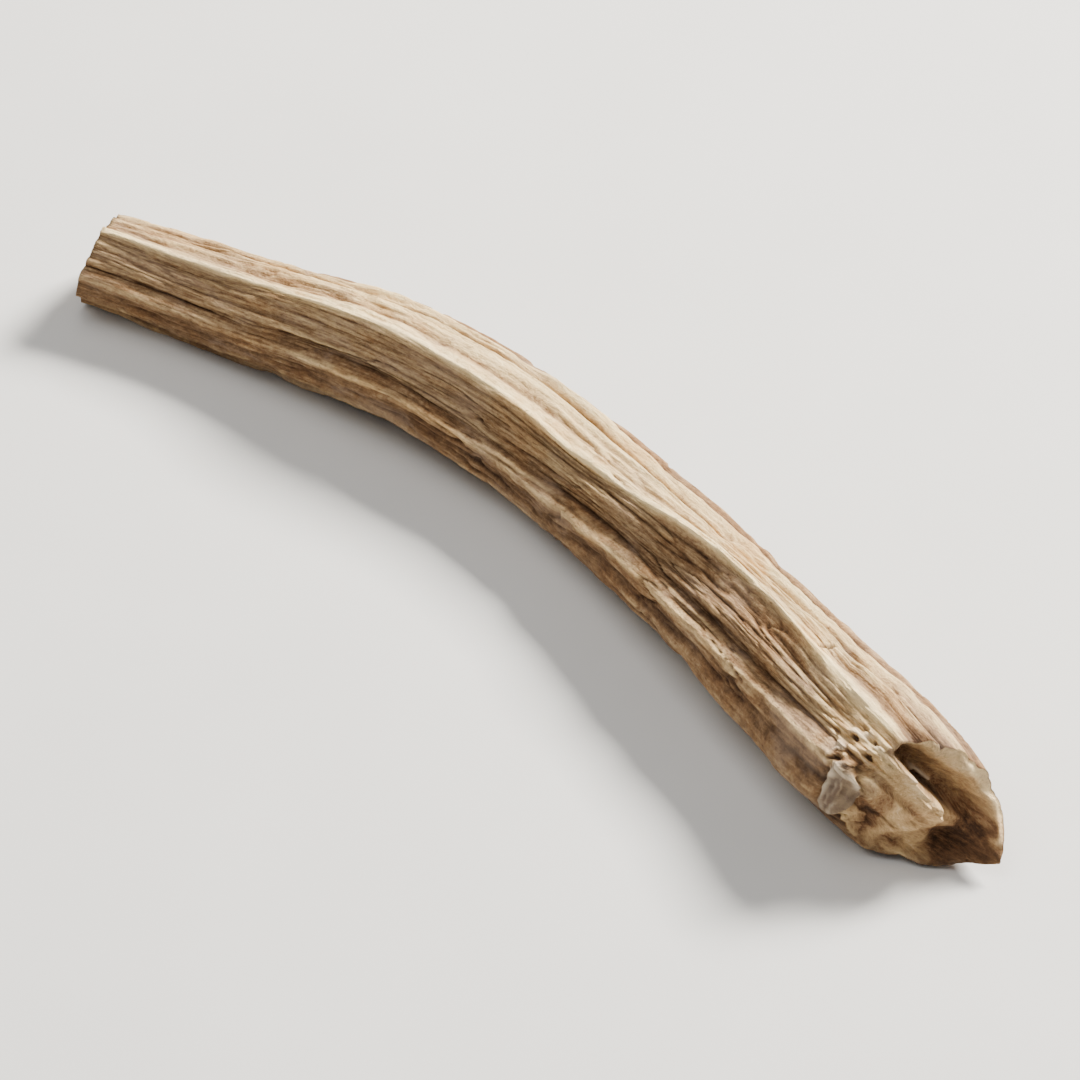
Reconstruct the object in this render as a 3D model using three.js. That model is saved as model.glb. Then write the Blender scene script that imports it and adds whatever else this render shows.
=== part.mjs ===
// One dried piece of shatavari root, cut from a longer root, as it lies on a flat surface.
//
// Millimetres. +X runs along the piece from its thin, cut end to its thick, broken end, and +Z is up.
// The origin is on the surface that the piece lies on, under the middle of the piece's box.
//
// The piece grew as one body. Its skin is a tube wrapped round a curved middle line. The long folds that
// drying drew into the skin are lines along the tube, and the mesh follows each fold from end to end.
// A place on the skin is (s, angle, radius): s is the share of the length from the thin end, and angle is
// in degrees round the middle line, 0 towards +Y, 90 up, 180 towards -Y and 270 down.

import * as THREE from "three";

// Driving dimensions
const LENGTH = 86; // along the middle line, to the pointed tip of the broken end
const THIN_RADIUS = 3.5;
const WAIST_RADIUS = 4.4;
const THICK_RADIUS = 5.35;
const FLATNESS = 0.9; // height over width of the section
const THIN_HEADING = 24; // degrees that the middle line heads towards +Y at the thin end
const LONG_BEND = 19; // degrees that it turns evenly from there to LONG_BEND_END
const LONG_BEND_END = 0.43;
const SHORT_BEND = 14.5; // degrees that it turns between these two values of s
const SHORT_BEND_SPAN = [0.37, 0.58];
const REST_LIFT = 0.75; // how far the piece arches clear of the surface between its three low spots
const REST_SPOTS = [0.13, 0.49, 0.85]; // s of those low spots, the middle one at the bend
const REST_SINK = 0.5; // how much of the lowest folds is pressed flat there

// The broken end: the skin on one side runs on to a pointed tip, and inside it stands the core's stub.
const TIP_ANGLE = 308;
// How far short of the tip the skin breaks off, at every 15 degrees from the tip's own angle: up the back
// to the long lip, over the top, and down the front to the tip again.
const BREAK_SHORT = [
  0, 0.7, 1.6, 2.4, 3, 3.6, 4.3, 5.3, 6.2, 6.7, 6.9, 7.2, // back and top
  7.6, 7.9, 8.1, 8.2, 8.2, 8.1, 7.6, 6.4, 5.1, 3.6, 2.5, 1.5, // front and underside
];
const BREAK_FROM = 0.68; // s where the mesh rings start to lean over to the slant of the break
const FACE_ANGLE = 120; // the side that the slanting face is turned to
const CORE_RISE = 1.9;
const CREVICE_DEPTH = 1.9; // between the core and the lip, whose inner wall slopes up from it
const SCOOP_DEPTH = 1.7;
const DISH_DEPTH = 0.6;
const SCAR_ANGLE = 122; // a rough scar straddles the rim over the core
const SCAR_RISE = 0.4;
const RIM_ROUNDING = 0.8; // how far the skin turns in towards the rim, most on the front's upper half
const ROUNDING_ANGLE = 155;
const ROUNDING_RUN = 3.5; // length of skin that turns in
const LIP_TAPER = 0.85; // how far the long lip leans in, on the back
const LIP_ANGLE = 30;
const LIP_RUN = 7;

// The cut end
const CUT_SLANT = 1.3;
const CUT_LOW_ANGLE = 75; // the side that the cut leaves shortest
const CORD_RISE = 0.5; // the core's woody cord stands out of the shrunken flesh round it
const CORD_RADIUS = 0.4; // of the cut face's radius

// Mesh density
const STEPS_PER_FOLD = 2;
const RINGS = 96;
const BREAK_RINGS = 16;
const CUT_RINGS = 7;

// Each line runs the length of the piece. at: its angle, and height: how far it stands out of the tube or
// sinks into it, both at s = 0, 1/3, 2/3 and 1. They go round the piece in order, from its upper back edge.
const FOLDS = [
  { at: [50, 51, 52, 46], height: [0.1, 0.2, 0.25, 0.1] }, // rounded back edge of the flat top
  { at: [60, 62, 63, 58], height: [-0.25, -0.15, -0.15, 0] }, // hairline furrow along it
  { at: [69, 72, 71, 67], height: [-0.05, 0.05, 0, 0.1] },
  { at: [88, 91, 84, 79], height: [-0.15, -0.2, -0.25, -0.05] }, // flat top
  { at: [103, 109, 99, 91], height: [0.45, 0.5, 0.45, 0.2] }, // main crest, between the top and the flank
  { at: [109, 115, 106, 98], height: [-0.05, -0.1, -0.15, 0] }, // flank
  { at: [117, 124, 114, 106], height: [-0.2, -0.4, -0.4, -0.1] },
  { at: [128, 135, 123, 114], height: [-0.45, -0.55, -0.55, -0.2] },
  { at: [140, 147, 133, 121], height: [-0.3, -0.5, -0.5, -0.05] },
  { at: [152, 156, 143, 130], height: [-0.8, -0.65, -0.85, -0.5] }, // furrow at the foot of the flank
  { at: [162, 166, 154, 140], height: [0.3, 0.15, 0.35, 0.4] }, // second crest
  { at: [182, 184, 172, 159], height: [-0.1, -0.25, -0.25, -0.1] }, // lower flank
  { at: [201, 202, 193, 182], height: [0.1, 0.2, 0.15, 0.2] },
  { at: [216, 218, 213, 206], height: [-0.6, -0.8, -0.6, -0.3] },
  { at: [234, 237, 234, 229], height: [0.3, 0.35, 0.35, 0.3] },
  { at: [251, 253, 251, 249], height: [-0.3, -0.2, -0.3, -0.2] },
  { at: [268, 269, 270, 270], height: [0.15, 0.15, 0.15, 0.15] }, // underside
  { at: [287, 285, 289, 291], height: [-0.5, -0.6, -0.7, -0.4] },
  { at: [305, 303, 307, 310], height: [0.3, 0.3, 0.35, 0.3] },
  { at: [322, 320, 323, 328], height: [-0.6, -0.4, -0.6, -0.3] },
  { at: [339, 340, 341, 345], height: [0.3, 0.35, 0.3, 0.25] },
  { at: [356, 358, 359, 362], height: [-0.7, -0.8, -0.5, -0.3] },
  { at: [374, 376, 377, 379], height: [0.25, 0.3, 0.35, 0.2] },
  { at: [392, 393, 394, 393], height: [-0.3, -0.3, -0.3, -0.2] },
];
const FOLD_WANDER = 3; // degrees that a line strays to either side
const FOLD_BULGE = 1.3; // over 1 rounds the crests and sharpens the furrows
const CREST_LINE = 4.3; // the main crest swings to and fro, and the lines beside it go along with it
const CREST_SPREAD = 1.9;
const CREST_SWINGS = [
  { at: 0.5, reach: 0.06, turn: 7 }, // s, share of the length, and degrees towards the front
  { at: 0.72, reach: 0.09, turn: -16 },
];

const FULL_TURN = 360;
const radians = THREE.MathUtils.degToRad;
const { clamp, lerp, smoothstep } = THREE.MathUtils;

// A repeatable random number from 0 to 1 for each point of a whole-number grid.
function gridRandom(x, y, z) {
  let h = Math.imul(x, 374761393) ^ Math.imul(y, 668265263) ^ Math.imul(z, 2246822519);
  h = Math.imul(h ^ (h >>> 15), 2246822519);
  h = Math.imul(h ^ (h >>> 13), 3266489917);
  return ((h ^ (h >>> 16)) >>> 0) / 2 ** 32;
}

// Smooth noise from -1 to 1.
function noise(x, y, z) {
  const [x0, y0, z0] = [Math.floor(x), Math.floor(y), Math.floor(z)];
  const ease = (t) => t * t * t * (t * (t * 6 - 15) + 10);
  const [u, v, w] = [ease(x - x0), ease(y - y0), ease(z - z0)];
  const alongX = (y1, z1) => lerp(gridRandom(x0, y1, z1), gridRandom(x0 + 1, y1, z1), u);
  const alongY = (z1) => lerp(alongX(y0, z1), alongX(y0 + 1, z1), v);
  return 2 * lerp(alongY(z0), alongY(z0 + 1), w) - 1;
}

// 1 inside a span, falling to 0 outside it over a soft edge.
function within(value, low, high, edge) {
  return smoothstep(value, low - edge, low + edge) * (1 - smoothstep(value, high - edge, high + edge));
}

// A smooth curve through four values at s = 0, 1/3, 2/3 and 1.
function track(values, s) {
  const place = clamp(s, 0, 1) * 3;
  const i = Math.min(Math.floor(place), 2);
  const t = place - i;
  const [from, to] = [values[i], values[i + 1]];
  const [before, after] = [values[Math.max(i - 1, 0)], values[Math.min(i + 2, 3)]];
  const [leave, arrive] = [(to - before) / 2, (after - from) / 2];
  const bend = 3 * (to - from) - 2 * leave - arrive;
  return from + t * (leave + t * (bend + t * (leave + arrive - 2 * (to - from))));
}

function crestSwing(i, s) {
  const share = Math.exp(-(((i - CREST_LINE) / CREST_SPREAD) ** 2));
  const turns = CREST_SWINGS.map((swing) => swing.turn * Math.exp(-(((s - swing.at) / swing.reach) ** 2)));
  return share * (turns[0] + turns[1]);
}

function foldAngle(k, s) {
  const i = k % FOLDS.length;
  const wander = FOLD_WANDER * noise(s * 7, i * 5.3, 0.5);
  return track(FOLDS[i].at, s) + crestSwing(i, s) + wander + (k > i ? FULL_TURN : 0);
}

// The folds die away towards the tip.
function foldHeight(k, s) {
  const i = k % FOLDS.length;
  const strength = 1 - 0.65 * smoothstep(s, 0.9, 0.99);
  return strength * track(FOLDS[i].height, s) * (1 + 0.8 * noise(s * 11, i * 3.7, 20.5));
}

// The angle and the height of the skin at a place between two fold lines: 4.25 is a quarter of the way
// from line 4 to line 5.
function acrossFolds(fold, s) {
  const k = Math.floor(fold);
  const t = fold - k;
  const [from, to] = [foldHeight(k, s), foldHeight(k + 1, s)];
  const height = from > to ? from - (from - to) * t ** FOLD_BULGE : to - (to - from) * (1 - t) ** FOLD_BULGE;
  return { angle: lerp(foldAngle(k, s), foldAngle(k + 1, s), t), height };
}

// Wrinkles between the folds: narrow furrows drawn out along the piece, in two sizes.
function wrinkle(fold, s) {
  const turn = (fold / FOLDS.length) * 2 * Math.PI;
  const furrow = (perTurn, stretch, layer) => {
    const r = perTurn / (2 * Math.PI);
    const n = noise(r * Math.cos(turn) + layer, r * Math.sin(turn) + layer, (s * LENGTH) / stretch);
    return Math.sqrt(Math.abs(n)) - 0.5;
  };
  return 0.34 * furrow(15, 11, 31.5) + 0.18 * furrow(34, 8, 57.5);
}

function tubeRadius(s) {
  const growth = (WAIST_RADIUS - THIN_RADIUS) * smoothstep(s, 0, 0.36);
  const swelling = (THICK_RADIUS - WAIST_RADIUS) * smoothstep(s, 0.62, 0.9);
  return (THIN_RADIUS + growth + swelling) * (1 + 0.035 * noise(s * 8, 2.5, 70.5));
}

// The section without its folds: an oval that turns in towards the break, on its front and on its back.
function plainRadius(angle, s) {
  const oval = 1 / Math.hypot(Math.cos(radians(angle)), Math.sin(radians(angle)) / FLATNESS);
  const toRim = LENGTH * (1 - s) - breakShort(angle);
  const front = Math.max(Math.cos(radians(angle - ROUNDING_ANGLE)), 0);
  const back = Math.max(Math.cos(radians(angle - LIP_ANGLE)), 0);
  const turnedIn = RIM_ROUNDING * front * clamp(1 - toRim / ROUNDING_RUN, 0, 1) ** 2;
  return tubeRadius(s) * oval - turnedIn - LIP_TAPER * back * clamp(1 - toRim / LIP_RUN, 0, 1) ** 1.5;
}

function skinRadius(fold, s) {
  const { angle, height } = acrossFolds(fold, s);
  const toRim = LENGTH * (1 - s) - breakShort(angle);
  const spread = ((angle - SCAR_ANGLE) / 18) ** 2 + (toRim / 1.8) ** 2;
  const scar = SCAR_RISE * Math.exp(-spread) * (1 + noise(angle / 9, s * 90, 40.5));
  const folds = (tubeRadius(s) / WAIST_RADIUS) * (height + wrinkle(fold, s));
  return { angle, radius: plainRadius(angle, s) + folds + scar };
}

// The middle line, as places and sideways directions at even steps along it.
const LINE_STEPS = 400;
const line = (() => {
  const places = [];
  let [x, y] = [0, 0];
  for (let i = 0; i <= LINE_STEPS; i++) {
    const s = i / LINE_STEPS;
    const bend = LONG_BEND * Math.min(s / LONG_BEND_END, 1) + SHORT_BEND * smoothstep(s, ...SHORT_BEND_SPAN);
    const heading = radians(THIN_HEADING - bend);
    const arch = REST_SPOTS.reduce((low, spot) => Math.min(low, Math.abs(s - spot) / 0.18), 1);
    const z = tubeRadius(s) * FLATNESS + REST_LIFT * smoothstep(arch, 0, 1);
    places.push({ x, y, z, side: new THREE.Vector3(-Math.sin(heading), Math.cos(heading), 0) });
    x += (LENGTH / LINE_STEPS) * Math.cos(heading);
    y += (LENGTH / LINE_STEPS) * Math.sin(heading);
  }
  return places;
})();

// The point in space at a place of the tube.
function toSpace(s, angle, radius) {
  const place = clamp(s, 0, 1) * LINE_STEPS;
  const i = Math.min(Math.floor(place), LINE_STEPS - 1);
  const [a, b] = [line[i], line[i + 1]];
  const t = place - i;
  const point = new THREE.Vector3(lerp(a.x, b.x, t), lerp(a.y, b.y, t), lerp(a.z, b.z, t));
  point.addScaledVector(a.side, radius * Math.cos(radians(angle)));
  point.z += radius * Math.sin(radians(angle));
  return point;
}

// How far short of the tip the skin breaks off at each angle.
function breakShort(angle) {
  const place = THREE.MathUtils.euclideanModulo(angle - TIP_ANGLE, FULL_TURN) / 15;
  const i = Math.floor(place);
  return lerp(BREAK_SHORT[i], BREAK_SHORT[(i + 1) % BREAK_SHORT.length], place - i);
}

// How far the cut sits in from the piece's start at each angle.
function cutShort(angle) {
  return (CUT_SLANT * (1 + Math.cos(radians(angle - CUT_LOW_ANGLE)))) / 2;
}

// A point of the skin on ring u, from 0 at the cut to 1 at the break.
function skinPlace(fold, u) {
  const [cut, broken] = [1 - smoothstep(u, 0, 0.06), smoothstep(u, BREAK_FROM, 1)];
  const lean = (angle) => u + (cutShort(angle) * cut - breakShort(angle) * broken) / LENGTH;
  const near = acrossFolds(fold, u).angle;
  const s = lean(acrossFolds(fold, lean(near)).angle);
  return { s, ...skinRadius(fold, s) };
}

// Depth of the broken face, outwards along the piece. a runs over the face from the far tip at -1 to the
// near edge at 1, and b across it, from the long lip at -1 to the front at 1.
function breakRelief(rho, angle) {
  const a = rho * Math.cos(radians(angle - FACE_ANGLE));
  const b = rho * Math.sin(radians(angle - FACE_ANGLE));
  const inside = 1 - smoothstep(rho, 0.84, 1);
  const stubEnd = 1.6 * Math.max(0.1 - b, 0) ** 1.5 + 0.9 * Math.max(b - 0.4, 0) ** 1.5 - 0.46;
  const stub = smoothstep(a, stubEnd, stubEnd + 0.3) * (1 - smoothstep(a, 0.1, 1.1));
  const core = CORE_RISE * stub * smoothstep(b, -0.32, -0.12) * (1 - 0.7 * clamp(b + 0.1, 0, 1));
  const wall = smoothstep(b, -0.78, -0.4) * (1 - smoothstep(b, -0.34, -0.2));
  const crevice = CREVICE_DEPTH * wall * within(a, -0.6, 0.75, 0.14);
  const scoop = SCOOP_DEPTH * Math.exp(-(((a + 0.7) / 0.2) ** 2) - ((b - 0.05) / 0.5) ** 2);
  const dish = DISH_DEPTH * Math.exp(-(((a - 0.3) / 0.35) ** 2) - ((b - 0.72) / 0.2) ** 2);
  const rough = 0.4 * noise(a * 4.5 + 9.5, b * 4.5 + 3.5, 80.5);
  return inside * (core - crevice - scoop - dish + rough);
}

// Depth of the cut face, outwards along the piece.
function cutRelief(rho, angle) {
  const [a, b] = [rho * Math.cos(radians(angle)), rho * Math.sin(radians(angle))];
  const cord = CORD_RISE * (1 - smoothstep(rho, CORD_RADIUS - 0.05, CORD_RADIUS + 0.05));
  const shrink = 0.35 * within(rho, CORD_RADIUS, 0.85, 0.12);
  return (1 - smoothstep(rho, 0.9, 1)) * (cord - shrink + 0.15 * noise(a * 6 + 4.5, b * 6 + 8.5, 90.5));
}

// The middle point of an end face.
function faceMiddle(edge, relief, outwards) {
  const middle = edge.reduce((sum, place) => sum + place.s, 0) / edge.length;
  return toSpace(middle + (outwards * relief(0, 0)) / LENGTH, 0, 0);
}

// The rings of an end face, shrinking from the skin's last ring towards its middle point.
function faceRings(edge, count, relief, outwards) {
  const middle = edge.reduce((sum, place) => sum + place.s, 0) / edge.length;
  return Array.from({ length: count - 1 }, (_, j) => {
    const rho = 1 - (j + 1) / count;
    return edge.map(({ s, angle, radius }) => {
      const depth = (outwards * relief(rho, angle)) / LENGTH;
      const even = lerp(plainRadius(angle, s), radius, smoothstep(rho, 0.4, 1));
      return toSpace(lerp(middle, s, rho) + depth, angle, even * rho);
    });
  });
}

// All the piece's rings, from the middle of the cut face along the skin to the middle of the broken face.
function rootGeometry() {
  const around = FOLDS.length * STEPS_PER_FOLD;
  const skinRing = (u) => Array.from({ length: around }, (_, i) => skinPlace(i / STEPS_PER_FOLD, u));
  const skin = Array.from({ length: RINGS + 1 }, (_, i) => skinRing(i / RINGS));
  const rings = [
    ...faceRings(skin[0], CUT_RINGS, cutRelief, -1).reverse(),
    ...skin.map((ring) => ring.map(({ s, angle, radius }) => toSpace(s, angle, radius))),
    ...faceRings(skin[RINGS], BREAK_RINGS, breakRelief, 1),
  ];
  const points = rings.flat();
  points.push(faceMiddle(skin[0], cutRelief, -1), faceMiddle(skin[RINGS], breakRelief, 1));
  const [cutMiddle, breakMiddle] = [points.length - 2, points.length - 1];

  const faces = [];
  const last = (rings.length - 1) * around;
  for (let i = 0; i < around; i++) {
    const j = (i + 1) % around;
    faces.push(cutMiddle, j, i);
    for (let row = 0; row < last; row += around) {
      const next = row + around;
      faces.push(row + i, row + j, next + j, row + i, next + j, next + i);
    }
    faces.push(last + i, last + j, breakMiddle);
  }

  const box = new THREE.Box3().setFromPoints(points);
  const middle = box.getCenter(new THREE.Vector3());
  for (const point of points) {
    point.x -= middle.x;
    point.y -= middle.y;
    point.z = Math.max(point.z - box.min.z - REST_SINK, 0);
  }
  const geometry = new THREE.BufferGeometry().setFromPoints(points);
  geometry.setIndex(faces);
  geometry.computeVertexNormals();
  return geometry;
}

const driedRoot = new THREE.MeshStandardMaterial({ color: 0xb39472, roughness: 0.9, metalness: 0 });

const root = new THREE.Mesh(rootGeometry(), driedRoot);
root.name = "root";

const piece = new THREE.Group();
piece.add(root);

export default piece;
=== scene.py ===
# A dried shatavari root: its full skin, broken end and cut end, with material, light and camera.
#
# The shape is the CAD solid's shape, from the same named values, on a mesh fine enough for the small
# wrinkles, pits and cracks. Shape values are in millimetres, and points turn into metres at the end.
# A place on the skin is (fold, s): fold counts the fold lines round the piece, and s is the share of
# the length from the cut end. Angles are in degrees: 0 towards +Y, 90 up, 180 towards -Y, 270 down.
# Where noise is called with a constant coordinate, that only chooses a part of the noise.

import math

import bpy
import numpy as np
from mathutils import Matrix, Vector


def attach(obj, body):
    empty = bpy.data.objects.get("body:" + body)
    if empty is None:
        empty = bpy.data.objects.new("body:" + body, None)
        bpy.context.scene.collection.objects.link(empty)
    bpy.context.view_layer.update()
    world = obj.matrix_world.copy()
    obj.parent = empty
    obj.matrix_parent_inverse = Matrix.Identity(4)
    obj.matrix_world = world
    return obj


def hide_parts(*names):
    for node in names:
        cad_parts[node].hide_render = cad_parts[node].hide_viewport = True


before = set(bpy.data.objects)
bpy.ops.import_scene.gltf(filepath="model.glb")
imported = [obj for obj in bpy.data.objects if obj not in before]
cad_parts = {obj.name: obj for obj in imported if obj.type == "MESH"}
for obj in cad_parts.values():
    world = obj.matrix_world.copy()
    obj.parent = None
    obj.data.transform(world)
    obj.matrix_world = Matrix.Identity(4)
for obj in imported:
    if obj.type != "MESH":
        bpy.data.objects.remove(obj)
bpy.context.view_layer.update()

# Shape values, as in the CAD source
LENGTH = 86  # along the middle line, to the pointed tip of the broken end
THIN_RADIUS = 3.5
WAIST_RADIUS = 4.4
THICK_RADIUS = 5.35
FLATNESS = 0.9  # height over width of the section
THIN_HEADING = 24  # degrees that the middle line heads towards +Y at the thin end
LONG_BEND = 19  # degrees that it turns evenly from there to LONG_BEND_END
LONG_BEND_END = 0.43
SHORT_BEND = 14.5  # degrees that it turns between these two values of s
SHORT_BEND_SPAN = (0.37, 0.58)
REST_LIFT = 0.75  # how far the piece arches clear of the surface between its three low spots
REST_SPOTS = (0.13, 0.49, 0.85)  # s of those low spots
REST_REACH = 0.18  # share of the length over which it arches up from each
REST_SINK = 0.5  # how much of the lowest folds is pressed flat there

# The broken end. BREAK_SHORT: how far short of the tip the skin breaks off, at every 15 degrees from
# the tip's own angle, up the back to the long lip, over the top and down the front.
TIP_ANGLE = 308
BREAK_SHORT = [
    0, 0.7, 1.6, 2.4, 3, 3.6, 4.3, 5.3, 6.2, 6.7, 6.9, 7.2,  # back and top
    7.6, 7.9, 8.1, 8.2, 8.2, 8.1, 7.6, 6.4, 5.1, 3.6, 2.5, 1.5,  # front and underside
]
BREAK_STEP = 15
BREAK_FROM = 0.68  # s where the mesh rings start to lean over to the slant of the break
FACE_ANGLE = 120  # the side that the slanting face is turned to
CORE_RISE = 1.9
CREVICE_DEPTH = 1.9
SCOOP_DEPTH = 1.7
DISH_DEPTH = 0.6
SCAR_ANGLE = 122
SCAR_RISE = 0.4
RIM_ROUNDING = 0.8  # how far the skin turns in towards the rim, over ROUNDING_RUN
ROUNDING_ANGLE = 155
ROUNDING_RUN = 3.5
LIP_TAPER = 0.85  # how far the long lip leans in, over LIP_RUN
LIP_ANGLE = 30
LIP_RUN = 7

# The cut end
CUT_SLANT = 1.3
CUT_LOW_ANGLE = 75  # the side that the cut leaves shortest
CORD_RISE = 0.5
CORD_RADIUS = 0.4  # of the cut face's radius

# Each fold line's angle and height, both at s = 0, 1/3, 2/3 and 1
FOLDS = [
    ([50, 51, 52, 46], [0.1, 0.2, 0.25, 0.1]),  # rounded back edge of the flat top
    ([60, 62, 63, 58], [-0.25, -0.15, -0.15, 0]),  # hairline furrow along it
    ([69, 72, 71, 67], [-0.05, 0.05, 0, 0.1]),
    ([88, 91, 84, 79], [-0.15, -0.2, -0.25, -0.05]),  # flat top
    ([103, 109, 99, 91], [0.45, 0.5, 0.45, 0.2]),  # main crest, between the top and the flank
    ([109, 115, 106, 98], [-0.05, -0.1, -0.15, 0]),  # flank
    ([117, 124, 114, 106], [-0.2, -0.4, -0.4, -0.1]),
    ([128, 135, 123, 114], [-0.45, -0.55, -0.55, -0.2]),
    ([140, 147, 133, 121], [-0.3, -0.5, -0.5, -0.05]),
    ([152, 156, 143, 130], [-0.8, -0.65, -0.85, -0.5]),  # furrow at the foot of the flank
    ([162, 166, 154, 140], [0.3, 0.15, 0.35, 0.4]),  # second crest
    ([182, 184, 172, 159], [-0.1, -0.25, -0.25, -0.1]),  # lower flank
    ([201, 202, 193, 182], [0.1, 0.2, 0.15, 0.2]),
    ([216, 218, 213, 206], [-0.6, -0.8, -0.6, -0.3]),
    ([234, 237, 234, 229], [0.3, 0.35, 0.35, 0.3]),
    ([251, 253, 251, 249], [-0.3, -0.2, -0.3, -0.2]),
    ([268, 269, 270, 270], [0.15, 0.15, 0.15, 0.15]),  # underside
    ([287, 285, 289, 291], [-0.5, -0.6, -0.7, -0.4]),
    ([305, 303, 307, 310], [0.3, 0.3, 0.35, 0.3]),
    ([322, 320, 323, 328], [-0.6, -0.4, -0.6, -0.3]),
    ([339, 340, 341, 345], [0.3, 0.35, 0.3, 0.25]),
    ([356, 358, 359, 362], [-0.7, -0.8, -0.5, -0.3]),
    ([374, 376, 377, 379], [0.25, 0.3, 0.35, 0.2]),
    ([392, 393, 394, 393], [-0.3, -0.3, -0.3, -0.2]),
]
FOLD_AT = np.array([at for at, _ in FOLDS], float)
FOLD_HEIGHT = np.array([height for _, height in FOLDS], float)
FOLD_WANDER = 3  # degrees that a line strays to either side
FOLD_BULGE = 1.3  # over 1 rounds the crests and sharpens the furrows
CREST_LINE = 4.3  # the main crest swings to and fro, and the lines beside it go along with it
CREST_SPREAD = 1.9
CREST_SWINGS = [(0.5, 0.06, 7), (0.72, 0.09, -16)]  # s, share of the length, and degrees
FULL_TURN = 360

# Layers of wrinkles: height, number round the piece, length along it, and a part of the noise
BROAD_WRINKLES = [(0.34, 15, 11, 31.5), (0.18, 34, 8, 57.5)]
FINE_WRINKLES = [(0.16, 52, 4.5, 83.5), (0.1, 104, 3, 91.5)]

# Mesh density: the CAD's, which sets the piece's middle, and the fine one
CAD_STEPS, CAD_RINGS = 2, 96
FINE_STEPS, FINE_RINGS, END_RINGS = 12, 182, 104
END_FROM = 0.78  # the rings are closer together from here to the break
BREAK_RINGS, CUT_RINGS = 42, 16
LINE_STEPS = 400  # of the middle line


def cos(angle):
    return np.cos(np.radians(angle))


def sin(angle):
    return np.sin(np.radians(angle))


def lerp(a, b, t):
    return a + (b - a) * t


def smoothstep(value, low, high):
    t = np.clip((value - low) / (high - low), 0, 1)
    return t * t * (3 - 2 * t)


def within(value, low, high, edge):
    """1 inside a span, falling to 0 outside it over a soft edge."""
    return smoothstep(value, low - edge, low + edge) * (1 - smoothstep(value, high - edge, high + edge))


def bell(value, width):
    """1 at a value of 0, falling to 0 to both sides."""
    return np.exp(-((value / width) ** 2))


def grid_random(x, y, z):
    """A repeatable random number from 0 to 1 for each point of a whole-number grid."""
    x, y, z = ((v.astype(np.int64) & 0xFFFFFFFF).astype(np.uint32) for v in (x, y, z))
    h = (x * np.uint32(374761393)) ^ (y * np.uint32(668265263)) ^ (z * np.uint32(2246822519))
    h = (h ^ (h >> np.uint32(15))) * np.uint32(2246822519)
    h = (h ^ (h >> np.uint32(13))) * np.uint32(3266489917)
    return (h ^ (h >> np.uint32(16))) / 2.0 ** 32


def noise(x, y, z):
    """Smooth noise from -1 to 1."""
    x, y, z = np.broadcast_arrays(*(np.asarray(v, float) for v in (x, y, z)))
    low = [np.floor(v) for v in (x, y, z)]
    u, v, w = (t * t * t * (t * (t * 6 - 15) + 10) for t in (x - low[0], y - low[1], z - low[2]))

    def along_x(y1, z1):
        return lerp(grid_random(low[0], y1, z1), grid_random(low[0] + 1, y1, z1), u)

    def along_y(z1):
        return lerp(along_x(low[1], z1), along_x(low[1] + 1, z1), v)

    return 2 * lerp(along_y(low[2]), along_y(low[2] + 1), w) - 1


def track(values, s):
    """A smooth curve through four values at s = 0, 1/3, 2/3 and 1. The last axis of values holds the four."""
    place = np.clip(s, 0, 1) * 3
    i = np.minimum(np.floor(place), 2).astype(int)
    t = place - i
    values = np.broadcast_to(values, t.shape + (4,))

    def value(j):
        return np.take_along_axis(values, np.clip(j, 0, 3)[..., None], -1)[..., 0]

    before, start, end, after = value(i - 1), value(i), value(i + 1), value(i + 2)
    leave, arrive = (end - before) / 2, (after - start) / 2
    bend = 3 * (end - start) - 2 * leave - arrive
    return start + t * (leave + t * (bend + t * (leave + arrive - 2 * (end - start))))


def crest_swing(i, s):
    share = bell(i - CREST_LINE, CREST_SPREAD)
    return share * sum(turn * bell(s - at, reach) for at, reach, turn in CREST_SWINGS)


def fold_angle(k, s):
    i = k % len(FOLDS)
    wander = FOLD_WANDER * noise(s * 7, i * 5.3, 0.5)
    return track(FOLD_AT[i], s) + crest_swing(i, s) + wander + np.where(k > i, FULL_TURN, 0)


def fold_height(k, s):
    """The folds die away towards the tip."""
    i = k % len(FOLDS)
    strength = 1 - 0.65 * smoothstep(s, 0.9, 0.99)
    return strength * track(FOLD_HEIGHT[i], s) * (1 + 0.8 * noise(s * 11, i * 3.7, 20.5))


def across_folds(fold, s):
    """Angle and height of the skin between two fold lines: 4.25 is a quarter of the way from 4 to 5."""
    fold, s = np.broadcast_arrays(np.asarray(fold, float), np.asarray(s, float))
    k = np.floor(fold).astype(int)
    t = fold - k
    start, end = fold_height(k, s), fold_height(k + 1, s)
    down = start - (start - end) * t ** FOLD_BULGE
    up = end - (end - start) * (1 - t) ** FOLD_BULGE
    return lerp(fold_angle(k, s), fold_angle(k + 1, s), t), np.where(start > end, down, up)


def fold_turn(fold):
    """The place round the piece in radians, with the fold lines at even steps."""
    return np.asarray(fold) / len(FOLDS) * 2 * math.pi


def furrows(fold, s, layers):
    """Narrow furrows drawn out along the piece, in millimetres."""
    turn = fold_turn(fold)
    height = 0
    for size, per_turn, stretch, layer in layers:
        r = per_turn / (2 * math.pi)
        n = noise(r * np.cos(turn) + layer, r * np.sin(turn) + layer, s * LENGTH / stretch)
        height = height + size * (np.sqrt(np.abs(n)) - 0.5)
    return height


def tube_radius(s):
    growth = (WAIST_RADIUS - THIN_RADIUS) * smoothstep(s, 0, 0.36)
    swelling = (THICK_RADIUS - WAIST_RADIUS) * smoothstep(s, 0.62, 0.9)
    return (THIN_RADIUS + growth + swelling) * (1 + 0.035 * noise(s * 8, 2.5, 70.5))


def break_short(angle):
    """How far short of the tip the skin breaks off at each angle."""
    steps = np.arange(len(BREAK_SHORT) + 1)
    return np.interp((angle - TIP_ANGLE) % FULL_TURN / BREAK_STEP, steps, BREAK_SHORT + BREAK_SHORT[:1])


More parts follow.
